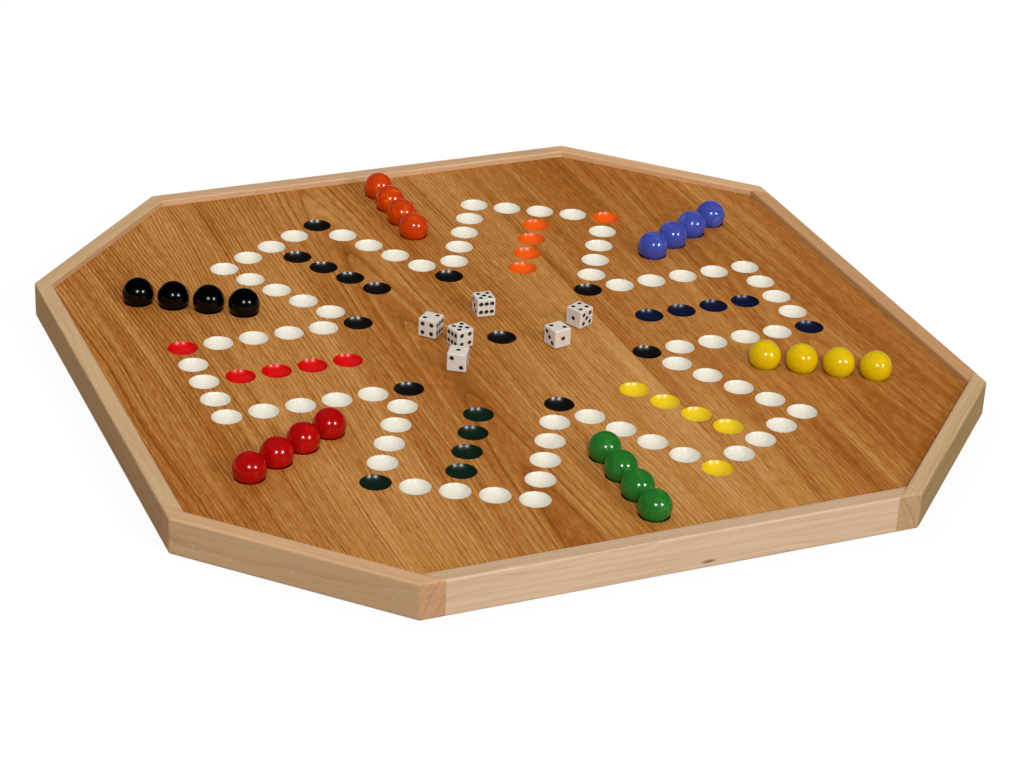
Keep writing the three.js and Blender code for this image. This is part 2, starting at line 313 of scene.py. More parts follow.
# Where the panel differs: calmer on the right, bolder lines at the back left, darker at the back right
CALM_EDGE = (20, 180)
CALM_LEAST = 0.5
LINE_EDGE = (-100, 200)
LINE_SIDES = (-60, 140)
FRONT_LINES = 0.3
BACK_LINES = 0.33
BACK_LEFT_LINES = 0.16
DARK_ALONG = (40, 220)
DARK_ACROSS = (0, 160)
CORNER_DARKER = 0.07


def oak(name, roughness):
    """Veneer in leaves side by side, each sliced across the rings of a tree. The rings lie far apart
    in the middle of a leaf, and close together along its joints."""
    material, wire, place = new_finish(name)
    across, along, _ = place.axes()
    leaf = ((across - LEAF_JOINT) / LEAF_WIDTH).floor()
    from_heart = across - LEAF_JOINT - (leaf + 0.5) * LEAF_WIDTH
    heart = from_heart.math("ABSOLUTE", from_heart).ramp(*HEART_EDGE, 1, 0)

    def streaks(value, figure):
        """Noise about 0, as wide as its figure in the value's own measure, and as long."""
        width, length, step, detail = OAK_FIGURES[figure]
        return wire.place(value / width, along / length, leaf * step).cloud(1, detail) - 0.5

    sway = streaks(across, "slow sway") * SLOW_SWAY + streaks(across, "quick sway") * QUICK_SWAY
    side = from_heart + sway
    rings = ((side * side + TREE_DEPTH ** 2).root() + along * TREE_TAPER) / OAK_RING

    broad = streaks(rings, "broad") * BROAD_TONE
    band = streaks(rings, "band") * BAND_TONE
    fibre = streaks(across, "fibre")
    open_pores = (streaks(rings.floor(), "pores") + 0.5).ramp(*PORE_EDGE, PORE_LEAST, 1)
    early = (1 - rings.part()) ** PORE_FADE * open_pores

    calm = across.ramp(*CALM_EDGE, 1, CALM_LEAST)
    back_lines = BACK_LINES + BACK_LEFT_LINES * across.ramp(*LINE_SIDES, 1, 0)
    lines = along.ramp(*LINE_EDGE, FRONT_LINES, back_lines)
    corner = along.ramp(*DARK_ALONG) * across.ramp(*DARK_ACROSS)
    tone = OAK_TONE - heart * HEART_DARKER - leaf * leaf * LEAF_DARKER
    tone = tone + streaks(across, "wide") * WIDE_TONE
    tone = tone + (broad + band) * (SIDE_FIGURE + heart * HEART_FIGURE)
    tone = tone + streaks(rings, "fine") * calm * FINE_TONE + fibre * FIBRE_TONE
    tone = tone - early * lines * calm - corner * CORNER_DARKER
    relief = 1 - early * PORE_RELIEF + fibre * FIBRE_RELIEF
    return surface(
        material, wire,
        Base_Color=wire.node("ValToRGB", {"stops": OAK_TONES}, {0: tone}),
        Roughness=roughness + early * PORE_ROUGHNESS + fibre * FIBRE_ROUGHNESS,
        Normal=relief.bump(OAK_RELIEF),
        Specular_IOR_Level=OAK_GLOSS,
    )


# The maple rails, in millimetres
MAPLE_LINE = srgb(160, 112, 72)
MAPLE_KNOT = srgb(128, 80, 48)
MAPLE_RING = 3.4
RAIL_STEP = 1700
HEART_OUT = 40
HEART_STEP = 9
HEART_DOWN = 34
BEND_LENGTH = 170
BEND_HEIGHT = 50
BEND_DEPTH = 42
RIPPLE_LENGTH = 50
RIPPLE_WIDTH = 8
RIPPLE_DEPTH = 2.4
STRONG_STEP = 0.7
STRONG_LENGTH = 300
STRONG_EDGE = (0.36, 0.7)
STRONG_LEAST = 0.1
LINE_FADE = 2.5
FLECK_LENGTH = 7
FLECKS_ACROSS = 2.2
FLECK_EDGE = (0.5, 0.8)
FLOW_LENGTH = 90
FLOW_WIDTH = 7
FLOW_HEIGHT = 2.6
FLOW_EDGE = (0.36, 0.74)
KNOT_ALONG = -22.9
KNOT_UP = 5.0
KNOT_LENGTH = 6.5
KNOT_HEIGHT = 1.5
KNOT_RIPPLE = 3
KNOT_EDGE = (0.1, 1)
SEED_MATCH = 0.1

# How strongly each figure colours the maple
END_SHADE = (0.95, 0.88, 0.87, 1)
FLOW_SHARE = 0.2
LINE_SHARE = 0.4
END_LINE_SHARE = 0.52
FLECK_SHARE = 0.12
KNOT_SHARE = 0.75
MAPLE_ROUGHNESS = 0.46
FLECK_ROUGHNESS = 0.1
MAPLE_RELIEF = 0.04 * MM
MAPLE_SHEEN = 0.35


def maple(name, wood, end_grain=False, sheen=MAPLE_SHEEN):
    """Faint rings about a heart outside the rail. wood is the mark that holds the rail's colour: its
    own colour on its top, and on its outer face its colour with painted light and shade in it."""
    material, wire, place = new_finish(name)
    base = wire.node("Attribute", {"attribute_name": wood}, output="Vector")
    seed = wire.node("Attribute", {"attribute_name": "seed"}, output="Fac")
    along, out, up = place.axes()
    far = along + seed * RAIL_STEP

    bend = wire.place(far / BEND_LENGTH, seed, up / BEND_HEIGHT).cloud(1, 2) - 0.5
    ripple = wire.place(far / RIPPLE_LENGTH, out / RIPPLE_WIDTH, up / RIPPLE_WIDTH).cloud(1, 3) - 0.5
    side = out - (FRAME_HALF / MM) + HEART_OUT + seed * HEART_STEP
    height = up + HEART_DOWN + bend * BEND_DEPTH
    rings = ((side * side + height * height).root() + ripple * RIPPLE_DEPTH) / MAPLE_RING
    strong = wire.place(rings.floor() * STRONG_STEP, seed, far / STRONG_LENGTH).cloud(1, 1)
    line = (1 - rings.part()) ** LINE_FADE * strong.ramp(*STRONG_EDGE, STRONG_LEAST, 1)
    fleck = wire.place(far / FLECK_LENGTH, out * FLECKS_ACROSS, up * FLECKS_ACROSS).cloud(1, 2)
    fleck = fleck.ramp(*FLECK_EDGE)
    flow = wire.place(far / FLOW_LENGTH, out / FLOW_WIDTH, up / FLOW_HEIGHT).cloud(1, 3)
    flow = flow.ramp(*FLOW_EDGE)
    knot_side = (along - KNOT_ALONG) / KNOT_LENGTH
    knot_rise = (up - KNOT_UP - ripple * KNOT_RIPPLE) / KNOT_HEIGHT
    on_front = seed.math("COMPARE", seed, FRONT_SEED, SEED_MATCH)
    knot = (knot_side * knot_side + knot_rise * knot_rise).ramp(*KNOT_EDGE, 1, 0) * on_front

    colour = base.over(1.0, END_SHADE, "MULTIPLY") if end_grain else base
    colour = colour.over(flow * FLOW_SHARE, MAPLE_LINE)
    colour = colour.over(line * (END_LINE_SHARE if end_grain else LINE_SHARE), MAPLE_LINE)
    colour = colour.over(fleck * FLECK_SHARE, MAPLE_LINE)
    colour = colour.over(knot * KNOT_SHARE, MAPLE_KNOT)
    return surface(
        material, wire,
        Base_Color=colour,
        Roughness=MAPLE_ROUGHNESS + fleck * FLECK_ROUGHNESS,
        Normal=(flow * 0.5 + fleck * 0.5).bump(MAPLE_RELIEF),
        Specular_IOR_Level=sheen,
    )


# The filler over the brads
FILLER_TONES = (srgb(206, 176, 144), srgb(190, 158, 124))
FILLER_ROUGHNESS = (0.6, 0.2)
FILLER_RELIEF = 0.03 * MM


def filler():
    material, wire, place = new_finish("wood_filler")
    grit = place.cloud(scale=2.5, detail=3)
    least, spread = FILLER_ROUGHNESS
    return surface(
        material, wire,
        Base_Color=grit.between(*FILLER_TONES),
        Roughness=least + grit * spread,
        Normal=grit.bump(FILLER_RELIEF),
    )


# Paint in the holes: its colour and its gloss
PAINTS = {
    "white": (srgb(223, 217, 201), 0.22),
    "black": (srgb(12, 10, 8), 0.5),
    "red": (srgb(203, 2, 3), 0.26),
    "green": (srgb(9, 33, 21), 0.4),
    "yellow": (srgb(226, 193, 16), 0.4),
    "blue": (srgb(10, 18, 48), 0.3),
    "orange": (srgb(226, 88, 2), 0.28),
}
PAINT_WORN = 0.95
WORN_EDGE = (0.35, 0.8)
PAINT_ROUGHNESS = 0.26
MOTTLE_ROUGHNESS = 0.06
PEEL_RELIEF = 0.01 * MM


def paint(colour):
    """Sprayed paint, a little uneven, with its fine orange peel."""
    material, wire, place = new_finish("paint_" + colour)
    mottle = place.cloud(scale=0.35, detail=3)
    orange_peel = place.cloud(scale=1.4, detail=2)
    shade, gloss = PAINTS[colour]
    worn = tuple(level * PAINT_WORN for level in shade[:3]) + (1,)
    return surface(
        material, wire,
        Base_Color=mottle.ramp(*WORN_EDGE).between(shade, worn),
        Roughness=PAINT_ROUGHNESS + mottle * MOTTLE_ROUGHNESS,
        Normal=orange_peel.bump(PEEL_RELIEF),
        Specular_IOR_Level=gloss,
    )


# Glass of the marbles: the body colour, the colour of the swirls in it and its gloss
GLASS = {
    "blue": (srgb(62, 73, 160), srgb(91, 103, 187), 0.34),
    "orange": (srgb(192, 56, 3), srgb(220, 90, 7), 0.32),
    "black": (srgb(2, 1, 1), srgb(6, 3, 2), 0.2),
    "red": (srgb(166, 4, 4), srgb(194, 15, 9), 0.32),
    "green": (srgb(34, 109, 36), srgb(53, 128, 51), 0.34),
    "yellow": (srgb(218, 182, 4), srgb(225, 190, 13), 0.32),
}
FOLDS_ACROSS = 0.10
FOLDS_ALONG = 0.035
STIR_SCALE = 0.09
STIR_ACROSS = 2.2
STIR_ALONG = 3
BATCH_STEP = 5
SHADE_STEP = 2.3
SHADE_SPREAD = 0.9
SWIRL_EDGE = (0.4, 0.68)
GLASS_ROUGHNESS = 0.13
SKIN_ROUGHNESS = 0.05
GLASS_DEPTH_SHARE = 0.2
GLASS_DEPTH = 3 * MM


def glass(colour):
    """Opaque glass with a soft swirl, under a bright smooth skin."""
    material, wire, place = new_finish("glass_" + colour)
    body, swirl, gloss = GLASS[colour]
    x, y, z = place.axes()
    batch = wire.node("Attribute", {"attribute_name": "batch"}, output="Fac")
    stir = place.cloud(STIR_SCALE, 2) - 0.5
    fold_x = x * FOLDS_ACROSS + stir * STIR_ACROSS + batch * BATCH_STEP
    fold_z = z * FOLDS_ALONG + stir * STIR_ALONG
    fold = wire.place(fold_x, y * FOLDS_ACROSS, fold_z).cloud(detail=4, rough=0.6)
    fold = fold + (wire.place(batch * SHADE_STEP, 0, 0).cloud(1, 0) - 0.5) * SHADE_SPREAD
    skin = place.cloud(scale=0.5, detail=2)
    return surface(
        material, wire,
        Base_Color=fold.ramp(*SWIRL_EDGE).between(body, swirl),
        Roughness=GLASS_ROUGHNESS + skin * SKIN_ROUGHNESS,
        Specular_IOR_Level=gloss,
        Subsurface_Weight=GLASS_DEPTH_SHARE,
        Subsurface_Radius=(1, 1, 1),
        Subsurface_Scale=GLASS_DEPTH,
    )


# The dice's plastic, in which light goes a little way, and the paint in their pips
DICE_TONES = (srgb(224, 216, 205), srgb(210, 202, 191))
DICE_ROUGHNESS = 0.34
DICE_RELIEF = 0.015 * MM
SCUFF_EDGE = (0.55, 0.8)
SCUFF_ROUGHNESS = 0.2
SCUFF_RELIEF = 0.3
PLASTIC_DEPTH_SHARE = 0.15
PLASTIC_DEPTH = 1.5 * MM
PIP_TONES = (srgb(14, 14, 16), srgb(30, 30, 33))
PIP_ROUGHNESS = (0.25, 0.15)
PIP_RELIEF = 0.02 * MM


def dice_plastic():
    material, wire, place = new_finish("dice_plastic")
    grain = place.cloud(scale=0.8, detail=3)
    scuff = place.cloud(scale=3.0, detail=2).ramp(*SCUFF_EDGE)
    return surface(
        material, wire,
        Base_Color=grain.between(*DICE_TONES),
        Roughness=DICE_ROUGHNESS + scuff * SCUFF_ROUGHNESS,
        Normal=(grain + scuff * SCUFF_RELIEF).bump(DICE_RELIEF),
        Subsurface_Weight=PLASTIC_DEPTH_SHARE,
        Subsurface_Scale=PLASTIC_DEPTH,
    )


def pip_paint():
    material, wire, place = new_finish("pip_paint")
    grain = place.cloud(scale=2.0, detail=2)
    least, spread = PIP_ROUGHNESS
    return surface(
        material, wire,
        Base_Color=grain.between(*PIP_TONES),
        Roughness=least + grain * spread,
        Normal=grain.bump(PIP_RELIEF),
    )


# The brads' drawn wire
BRAD_TONES = (srgb(176, 178, 182), srgb(136, 138, 142))
BRAD_ROUGHNESS = (0.3, 0.2)
BRAD_RELIEF = 0.02 * MM
DRAWN_SCALE = 2 / MM


def brad_steel():
    material, wire, _ = new_finish("brad_steel")
    drawn = wire.node("TexCoord", output="Object").cloud(DRAWN_SCALE, detail=3)
    least, spread = BRAD_ROUGHNESS
    return surface(
        material, wire,
        Base_Color=drawn.between(*BRAD_TONES),
        Roughness=least + drawn * spread,
        Normal=drawn.bump(BRAD_RELIEF),
        Metallic=1.0,
    )


# Meshes

class Shape:
    """The mesh of one piece as it is made, with a finish for each face."""

    def __init__(self):
        self.mesh = bmesh.new()

    def point(self, place):
        return self.mesh.verts.new(place)

    def face(self, corners, finish=0, smooth=True):
        made = self.mesh.faces.new(corners)
        made.material_index = finish
        made.smooth = smooth

    def band(self, ring, other, finish=0):
        """Faces between two closed rings of as many points."""
        count = len(ring)
        for step in range(count):
            after = (step + 1) % count
            self.face([ring[step], ring[after], other[after], other[step]], finish)

    def crease(self, ring):
        """Keeps the edges of a closed ring crisp."""
        for step in range(len(ring)):
            self.mesh.edges.get((ring[step - 1], ring[step])).smooth = False

    def fan(self, ring, tip, finish=0):
        count = len(ring)
        for step in range(count):
            self.face([ring[step], ring[(step + 1) % count], tip], finish)

    def mark(self, name, value):
        """Keeps a number or a colour at every point, for a material to read."""
        layers = self.mesh.verts.layers
        kind = layers.float_vector if isinstance(value, tuple) else layers.float
        layer = kind.new(name)
        for corner in self.mesh.verts:
            corner[layer] = value

    def weld(self):
        bmesh.ops.remove_doubles(self.mesh, verts=self.mesh.verts, dist=WELD_REACH)
        bmesh.ops.recalc_face_normals(self.mesh, faces=self.mesh.faces)

    def piece(self, name, finishes, turn=Matrix.Identity(4)):
        """The finished object, turned and moved to its place. It keeps its own places as its grain."""
        grain = self.mesh.verts.layers.float_vector.new("grain")
        for corner in self.mesh.verts:
            corner[grain] = corner.co / MM
        bmesh.ops.transform(self.mesh, matrix=turn, verts=self.mesh.verts)
        data = bpy.data.meshes.new(name)
        self.mesh.to_mesh(data)
        self.mesh.free()
        for material in finishes:
            data.materials.append(material)
        made = bpy.data.objects.new(name, data)
        bpy.context.scene.collection.objects.link(made)
        return made


def seat(piece, body, slot, *nodes):
    """Rides a piece on its body and takes the place of its solids. The slot, its finish's name, is not
    used.
    """
    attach(piece, body)
    if nodes:
        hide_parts(*nodes)


def round_points(x, y, radius, sides):
    turns = [math.tau * step / sides for step in range(sides)]
    return [(x + radius * math.cos(turn), y + radius * math.sin(turn)) for turn in turns]


def pitted_face(shape, outline, pits, sides, place):
    """A flat face with round pits. A pit is its middle and its rings of (radius, height, finish).

    Each ring's finish covers the band outside it. The first ring lies in the face, and the last
    one is the pit's bottom, a point. place turns x, y and height into a point of the piece.
    """
    flat = [Vector(point) for point in outline]
    edges = [(step, (step + 1) % len(outline)) for step in range(len(outline))]
    owners = [None] * len(outline)
    for number, (x, y, rings) in enumerate(pits):
        first = len(flat)
        flat += [Vector(point) for point in round_points(x, y, rings[0][0], sides)]
        edges += [(first + step, first + (step + 1) % sides) for step in range(sides)]
        owners += [number] * sides
    found, _, faces, sources, _, _ = delaunay_2d_cdt(flat, edges, [], INSIDE_ONLY, POINT_REACH)
    points = [None] * len(flat)
    for spot, source in zip(found, sources):
        points[source[0]] = shape.point(place(spot.x, spot.y, 0))
    for corners in faces:
        corners = [sources[corner][0] for corner in corners]
        held = {owners[corner] for corner in corners}
        if len(held) > 1 or None in held:
            shape.face([points[corner] for corner in corners], 0, False)
    for number, (x, y, rings) in enumerate(pits):
        first = len(outline) + number * sides
        ring = points[first:first + sides]
        last = 0
        for radius, height, finish in rings[1:-1]:
            inner = [shape.point(place(*spot, height)) for spot in round_points(x, y, radius, sides)]
            shape.band(ring, inner, finish)
            if finish != last:
                shape.crease(ring)
            ring = inner
            last = finish
        _, height, finish = rings[-1]
        shape.fan(ring, shape.point(place(x, y, height)), finish)
    return points[:len(outline)]


def hollow(mouth, depth, cutter, lip, steps, finish):
    """The rings of a pit: an eased lip, a wall as round as its cutter and a flat floor."""
    floor_radius = mouth - math.sqrt(cutter ** 2 - (cutter - depth) ** 2)
    widest = math.acos(1 - (depth - lip) / cutter)
    rings = [(mouth + lip / 2, 0, 0)]
    for step in range(steps, -1, -1):
        turn = widest * step / steps
        band = 0 if step == steps else finish
        radius = floor_radius + cutter * math.sin(turn)
        height = cutter * (1 - math.cos(turn)) - depth
        rings.append((radius, height, band))
    rings.append((0, -depth, finish))
    return rings


# The deck

def arm_holes(colour):
    """The holes of an arm that points along +X, each with its paint."""
    holes = []
    for step in range(1, ARM_SIDE_HOLES + 1):
        x = ARM_ROOT + step * PITCH
        starts = step == ARM_SIDE_HOLES
        holes.append((x, -ARM_HALF_WIDTH * PITCH, colour if starts else "white"))
        holes.append((x, ARM_HALF_WIDTH * PITCH, "white"))
    for across in range(1 - ARM_HALF_WIDTH, ARM_HALF_WIDTH):
        holes.append((ARM_REACH, across * PITCH, "white"))
    for step in range(1, HOME_HOLES + 1):
        holes.append((ARM_ROOT + step * PITCH, 0, colour))
    return holes


def all_holes():
    holes = [(0, 0, "black")]
    for player, colour in enumerate(PLAYERS):
        angle = player * ARM_TURN
        inner = Vector((INNER_RADIUS, 0, 0))
        inner.rotate(Quaternion((0, 0, 1), angle + ARM_TURN / 2))
        holes.append((inner.x, inner.y, "black"))
        for x, y, shade in arm_holes(colour):
            spot = Vector((x, y, 0))
            spot.rotate(Quaternion((0, 0, 1), angle))
            holes.append((spot.x, spot.y, shade))
        for count in range(1, MARBLES_EACH + 1):
            base = middle(f"marble_{colour}_{count}")
            holes.append((base.x, base.y, colour))
    return holes


def deck():
    """The panel out to the rails' inner faces, with every hole sunk and painted."""
    half = FRAME_HALF - RAIL_THICKNESS
    end = ROOT_TWO * (CORNER_HALF - RAIL_THICKNESS) - half
    outline = [
        (half, -end), (half, end), (end, half), (-end, half),
        (-half, end), (-half, -end), (-end, -half), (end, -half),
    ]
    woods = [oak(name, roughness) for name, roughness in OAK_ROUGHNESS.items()]
    bare = list(OAK_ROUGHNESS).index("oak_bare")
    paints = list(PAINTS)
    pits = []
    for x, y, shade in all_holes():
        finish = len(woods) + paints.index(shade)
        rings = hollow(MOUTH_RADIUS, HOLE_DEPTH, CUTTER_RADIUS, LIP_EASE, DISH_RINGS, finish)
        pits.append((x, y, rings))
    shape = Shape()
    rim = pitted_face(shape, outline, pits, HOLE_SIDES, lambda x, y, height: (x, y, DECK_TOP + height))
    back = [shape.point((x, y, DECK_BACK)) for x, y in outline]
    for step in range(len(outline)):
        after = (step + 1) % len(outline)
        shape.face([rim[step], rim[after], back[after], back[step]], bare, False)
    shape.face(back, bare, False)
    shape.weld()
    finishes = woods + [paint(shade) for shade in paints]
    seat(shape.piece("oak_deck", finishes), "board", "oak", "deck_panel")


# The rails

LONG_RAILS = ("right", "back", "left", "front")
SHORT_RAILS = ("back_right", "back_left", "front_left", "front_right")
QUARTER = math.tau / 4
TOP, END, FACE = range(3)
LONG_SEED = 1
SHORT_SEED = 5.5
FRONT_SEED = LONG_SEED + LONG_RAILS.index("front")

# Each rail's wood on its top, and its wood with painted light and shade on its outer face
# The outer faces are painted paler than the top on the front rail and darker on the others, as light
# falls on them
RAIL_TONES_AND_SHADE = {
    "right": (srgb(201, 153, 102), srgb(186, 146, 100)),
    "back": (srgb(207, 168, 127), srgb(200, 162, 122)),
    "left": (srgb(207, 171, 127), srgb(196, 158, 115)),
    "front": (srgb(204, 172, 136), srgb(228, 194, 160)),
    "back_right": (srgb(217, 173, 126), srgb(192, 150, 108)),
    "back_left": (srgb(206, 170, 124), srgb(190, 154, 112)),
    "front_left": (srgb(213, 169, 126), srgb(207, 167, 127)),
    "front_right": (srgb(206, 172, 129), srgb(186, 156, 111)),
}


def rail(name, node, inner, outer, turn, woods, seed):
    """A rail in its own place: x along it, y outwards. Its corners go along the inner face and back
    along the outer one. A short rail has four inner corners, because the ends of its inner face meet
    the long rails, and its own ends show."""
    corners = inner + outer
    count = len(corners)
    end, face, other_end = count - 3, count - 2, count - 1
    finishes = {end: END, face: FACE, other_end: END}
    ends_show = len(inner) > 2
    shape = Shape()
    low = [shape.point((x, y, 0)) for x, y in corners]
    high = [shape.point((x, y, RAIL_TOP)) for x, y in corners]
    shape.face(low, TOP, False)
    shape.face(high, TOP, False)
    for step in range(count):
        after = (step + 1) % count
        shape.face([low[step], low[after], high[after], high[step]], finishes.get(step, TOP), False)
    shape.weld()
    ease = shape.mesh.edges.layers.float.new("bevel_weight_edge")
    shown = len(inner) // 2 - 1
    weights = {shown: INNER_EASE, face: 1}
    if ends_show:
        weights[end] = weights[other_end] = 1
    for level in (low, high):
        for step, weight in weights.items():
            shape.mesh.edges.get((level[step], level[(step + 1) % count]))[ease] = weight
    if ends_show:
        for corner in (face, other_end):
            shape.mesh.edges.get((low[corner], high[corner]))[ease] = 1
    top_wood, face_colour_and_shade = woods
    shape.mark("wood_top", top_wood[:3])
    # The outer face's colour holds painted shade, and painted light on the front rail
    shape.mark("wood_face", face_colour_and_shade[:3])
    shape.mark("seed", seed)
    made = shape.piece(name, RAIL_FINISHES, turn)
    eased = made.modifiers.new("eased_edges", "BEVEL")
    eased.limit_method = "WEIGHT"
    eased.width = EDGE_EASE
    eased.segments = EASE_SEGMENTS
    seat(made, "board", "maple", node)


def brad_filler(corner, turn):
    """The three dots of filler over the heads of one short rail's brads."""
    shape = Shape()
    back = turn.inverted()
    face = CORNER_HALF
    rings = [(FILLER_BACK, face - FILLER_DEPTH)]
    rings += [(share, face + FILLER_PROUD * rise) for share, rise in FILLER_DOME]
    for count in range(1, BRADS_PER_RAIL + 1):
        spot = back @ middle(f"brad_{corner}_{count}")
        hoops = []
        for share, out in rings:
            hoop = round_points(spot.x, spot.z, FILLER_RADIUS * share, FILLER_SIDES)
            hoops.append([shape.point((x, out, z)) for x, z in hoop])
        for ring, other in zip(hoops, hoops[1:]):
            shape.band(ring, other)
        shape.fan(hoops[-1], shape.point((spot.x, face + FILLER_PROUD * FILLER_DIMPLE, spot.z)))
        shape.face(hoops[0])
    shape.weld()
    seat(shape.piece("brad_filler_" + corner, [FILLER], turn), "board", "maple")


def rails():
    half = FRAME_HALF - RAIL_THICKNESS
    line = ROOT_TWO * (CORNER_HALF - RAIL_THICKNESS)
    long_inner = [(half - line, half), (line - half, half)]
    long_outer = [(line - FRAME_HALF, FRAME_HALF), (FRAME_HALF - line, FRAME_HALF)]
    depth = CORNER_HALF - RAIL_THICKNESS
    wide = SHORT_HALF + RAIL_THICKNESS
    shown = (2 * half - line) / ROOT_TWO
    short_inner = [(-wide, depth), (-shown, depth), (shown, depth), (wide, depth)]
    short_outer = [(SHORT_HALF, CORNER_HALF), (-SHORT_HALF, CORNER_HALF)]
    for index, side in enumerate(LONG_RAILS):
        turn = Matrix.Rotation((index - 1) * QUARTER, 4, "Z")
        name = "maple_rail_" + side
        seed = LONG_SEED + index
        rail(name, "long_rail_" + side, long_inner, long_outer, turn, RAIL_TONES_AND_SHADE[side], seed)
    for index, corner in enumerate(SHORT_RAILS):
        turn = Matrix.Rotation((index - 0.5) * QUARTER, 4, "Z")
        name = "maple_rail_" + corner
        seed = SHORT_SEED + index
        rail(name, "short_rail_" + corner, short_inner, short_outer, turn, RAIL_TONES_AND_SHADE[corner], seed)
        brad_filler(corner, turn)
        for count in range(1, BRADS_PER_RAIL + 1):
            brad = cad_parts[f"brad_{corner}_{count}"]
            brad.data.materials.clear()
            brad.data.materials.append(STEEL)


# The marbles

def marble(colour, count, chance):
    """A glass ball, very slightly out of round, with the mark where it was sheared off."""
    shape = Shape()
    bmesh.ops.create_cube(shape.mesh, size=2)
    bmesh.ops.subdivide_edges(shape.mesh, edges=shape.mesh.edges, cuts=MARBLE_CUTS, use_grid_fill=True)
    shear = Vector((0, 0, 1))
    for corner in shape.mesh.verts:
        way = Vector(math.tan(axis * math.pi / 4) for axis in corner.co).normalized()
        swell = MARBLE_WOBBLE * noise.noise(way * WOBBLE_SCALE + Vector((count, 0, 0)))
        dip = SHEAR_MARK * math.exp(-(way.angle(shear) / SHEAR_WIDTH) ** 2)
        corner.co = way * (MARBLE_RADIUS * (1 - MARBLE_WOBBLE + swell) - dip)
    shape.mark("batch", count)
    for face in shape.mesh.faces:
        face.smooth = True
    tilt = Quaternion((0, 0, 1), chance.uniform(0, math.tau))
    tilt.rotate(Quaternion((1, 0, 0), math.pi + chance.uniform(-SHEAR_LEAN, SHEAR_LEAN)))
    node = f"marble_{colour}_{count}"
    turn = Matrix.Translation(middle(node)) @ tilt.to_matrix().to_4x4()
    slot = "glass_" + colour
    seat(shape.piece(f"glass_{colour}_{count}", [GLASSES[colour]], turn), node, slot, node)


# The dice

# Each number's face and the places of its pips
DIE_FACES = {
    1: (Vector((1, 0, 0)), [(0, 0, 0)]),
    2: (Vector((0, 1, 0)), [(1, 0, -1), (-1, 0, 1)]),
    3: (Vector((0, 0, 1)), [(-1, 1, 0), (0, 0, 0), (1, -1, 0)]),
    4: (Vector((0, 0, -1)), [(-1, -1, 0), (-1, 1, 0), (1, -1, 0), (1, 1, 0)]),
    5: (Vector((0, -1, 0)), [(0, 0, 0), (-1, 0, -1), (-1, 0, 1), (1, 0, -1), (1, 0, 1)]),
    6: (Vector((-1, 0, 0)), SIX_PLACES),
}

# How each die fell
THROW = [
    {"turn": 43.8, "top": 2, "front": 6},
    {"turn": 13.5, "top": 5, "front": 4},
    {"turn": 58.5, "top": 1, "front": 3},
    {"turn": -4.5, "top": 5, "front": 6},
    {"turn": 12.5, "top": 2, "front": 1},
    {"turn": 26.1, "top": 4, "front": 5},
]


def die_shape():
    """A die about its own middle: six pitted faces with rounded edges between them."""
    half = DIE_EDGE / 2
    flat = half - DIE_EASE
    turns = [QUARTER / 2 * step / DIE_EASE_STEPS for step in range(DIE_EASE_STEPS + 1)]
    rise = [flat + DIE_EASE * math.tan(turn) for turn in turns]
    grid = [-level for level in reversed(rise)] + rise
    shape = Shape()
    for out, pips in DIE_FACES.values():
        up = Vector((out.y, out.z, out.x))
        side = up.cross(out)

        def place(x, y, height):
            return side * x + up * y + out * (half + height)

        def eased(x, y):
            spot = place(x, y, 0)
            core = Vector(max(-flat, min(flat, axis)) for axis in spot)
            return core + (spot - core).normalized() * DIE_EASE

        pits = []
        for pip in pips:
            spot = Vector(pip) * PIP_SPREAD
            rings = hollow(PIP_RADIUS, PIP_DEPTH, PIP_CUTTER, PIP_LIP, PIP_RINGS, 1)
            pits.append((spot.dot(side), spot.dot(up), rings))
        square = [(-flat, -flat), (flat, -flat), (flat, flat), (-flat, flat)]
        pitted_face(shape, square, pits, PIP_SIDES, place)
        middle_cell = DIE_EASE_STEPS
        for row in range(len(grid) - 1):
            for column in range(len(grid) - 1):
                if (row, column) == (middle_cell, middle_cell):
                    continue
                ends = [(column, row), (column + 1, row), (column + 1, row + 1), (column, row + 1)]
                shape.face([shape.point(eased(grid[i], grid[j])) for i, j in ends])
    shape.weld()
    return shape


def die(number):
    throw = THROW[number - 1]
    up = DIE_FACES[throw["top"]][0]
    back = -DIE_FACES[throw["front"]][0]
    lay = Matrix((back.cross(up), back, up)).to_4x4()
    yaw = Matrix.Rotation(math.radians(throw["turn"]), 4, "Z")
    node = f"die_{number}"
    turn = Matrix.Translation(middle(node)) @ yaw @ lay
    made = die_shape().piece(f"thrown_die_{number}", [PLASTIC, PIP], turn)
    seat(made, node, "dice_plastic", node)


# The stage

def lamp(name, way, level, width):
    """A distant lamp in the direction way, which lights a face square on to it by level."""
    data = bpy.data.lights.new(name, "SUN")
    data.energy = math.pi * level
    data.angle = math.radians(width)
    made = bpy.data.objects.new(name, data)
    made.rotation_euler = (-Vector(way)).to_track_quat("-Z", "Y").to_euler()
    bpy.context.scene.collection.objects.link(made)
    return made


LEFT_LAMP = (-0.277, -0.745, 0.607)
RIGHT_LAMP = (0.422, -0.771, 0.476)
LAMP_WIDTH = 12
LEFT_LEVEL = 0.63
RIGHT_LEVEL = 0.33
CEILING_LEVEL = 0.18
CEILING_WIDTH = 120
BACK_FILL = (-0.15, 0.75, 0.64)
FILL_LEVEL = 0.37
FILL_WIDTH = 90
SKY_LEVEL = 0.03
FLOOR_HALF = 30
FLOOR_DROP = 0.1 * MM
FLOOR_GREY = 0.2
FLOOR_GLOW = 0.82


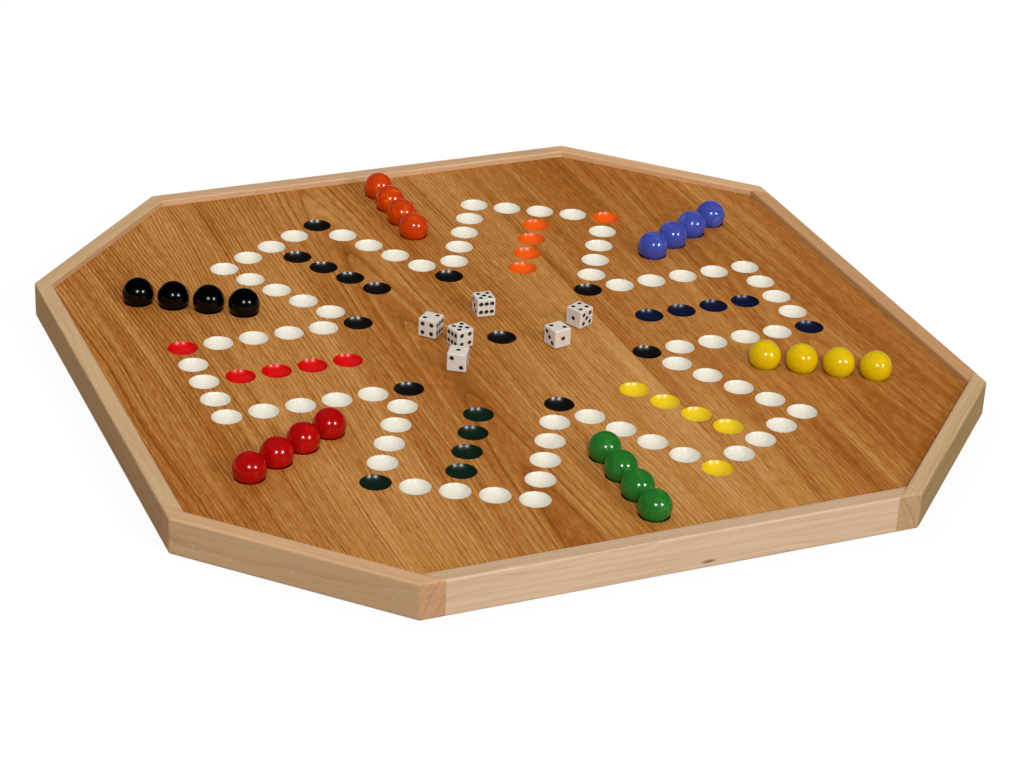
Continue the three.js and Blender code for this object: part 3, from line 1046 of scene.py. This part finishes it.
def lights():
    lamp("left_lamp", LEFT_LAMP, LEFT_LEVEL, LAMP_WIDTH)
    lamp("right_lamp", RIGHT_LAMP, RIGHT_LEVEL, LAMP_WIDTH)
    lamp("right_glint", RIGHT_LAMP, LEFT_LEVEL - RIGHT_LEVEL, LAMP_WIDTH).visible_diffuse = False
    lamp("ceiling_bounce", (0, 0, 1), CEILING_LEVEL, CEILING_WIDTH).visible_glossy = False
    lamp("back_fill", BACK_FILL, FILL_LEVEL, FILL_WIDTH).visible_glossy = False
    world = bpy.data.worlds.new("studio")
    world.use_nodes = True
    world.node_tree.nodes.clear()
    wire = Wire(world.node_tree)
    sky = wire.node("Background", None, {"Color": (1, 1, 1, 1), "Strength": SKY_LEVEL})
    wire.node("OutputWorld", None, {"Surface": sky})
    bpy.context.scene.world = world


def floor():
    """A white sheet that shows its own light to the eye, and keeps the board's shadow."""
    material = bpy.data.materials.new("floor_white")
    material.use_nodes = True
    material.node_tree.nodes.clear()
    wire = Wire(material.node_tree)
    sheet = wire.node("BsdfDiffuse", None, {"Color": (FLOOR_GREY,) * 3 + (1,)})
    glow = wire.node("Emission", None, {"Color": (1, 1, 1, 1), "Strength": FLOOR_GLOW})
    bright = wire.node("AddShader", None, {0: sheet, 1: glow})
    rays = ("Camera", "Glossy", "Transmission")
    seen = [wire.node("LightPath", output=f"Is {ray} Ray") for ray in rays]
    shown = wire.math("MAXIMUM", wire.math("MAXIMUM", seen[0], seen[1]), seen[2])
    mixed = wire.node("MixShader", None, {0: shown, 1: sheet, 2: bright})
    wire.node("OutputMaterial", None, {"Surface": mixed})
    shape = Shape()
    reach = ((-1, -1), (1, -1), (1, 1), (-1, 1))
    shape.face([shape.point((x * FLOOR_HALF, y * FLOOR_HALF, -FLOOR_DROP)) for x, y in reach])
    shape.piece("floor", [material])


CAMERA_PLACE = Vector((-0.7423, -1.7117, 0.9825))
CAMERA_AIM = Vector((-0.0214, -0.0726, 0.0233))
CAMERA_ROLL = math.radians(2.86)
CAMERA_LENS = 96.28
SENSOR_WIDTH = 36


def camera():
    data = bpy.data.cameras.new("photo_view")
    data.sensor_fit = "HORIZONTAL"
    data.sensor_width = SENSOR_WIDTH
    data.lens = CAMERA_LENS
    made = bpy.data.objects.new("photo_view", data)
    look = (CAMERA_AIM - CAMERA_PLACE).to_track_quat("-Z", "Y").to_matrix().to_4x4()
    made.matrix_world = Matrix.Translation(CAMERA_PLACE) @ look @ Matrix.Rotation(CAMERA_ROLL, 4, "Z")
    bpy.context.scene.collection.objects.link(made)
    bpy.context.scene.camera = made


RAIL_FINISHES = [
    maple("maple", "wood_top"),
    maple("maple_end_grain", "wood_top", end_grain=True, sheen=0),
    # The outer faces' finish, whose colour holds painted light and shade
    maple("maple_shaded_face", "wood_face", sheen=0),
]
FILLER = filler()
STEEL = brad_steel()
PLASTIC = dice_plastic()
PIP = pip_paint()
GLASSES = {colour: glass(colour) for colour in PLAYERS}

deck()
rails()
draw = random.Random(TURNS_SEED)
for player_colour in PLAYERS:
    for count in range(1, MARBLES_EACH + 1):
        marble(player_colour, count, draw)
for number in range(1, DICE + 1):
    die(number)
lights()
floor()
camera()
bpy.context.scene.view_settings.view_transform = "Standard"
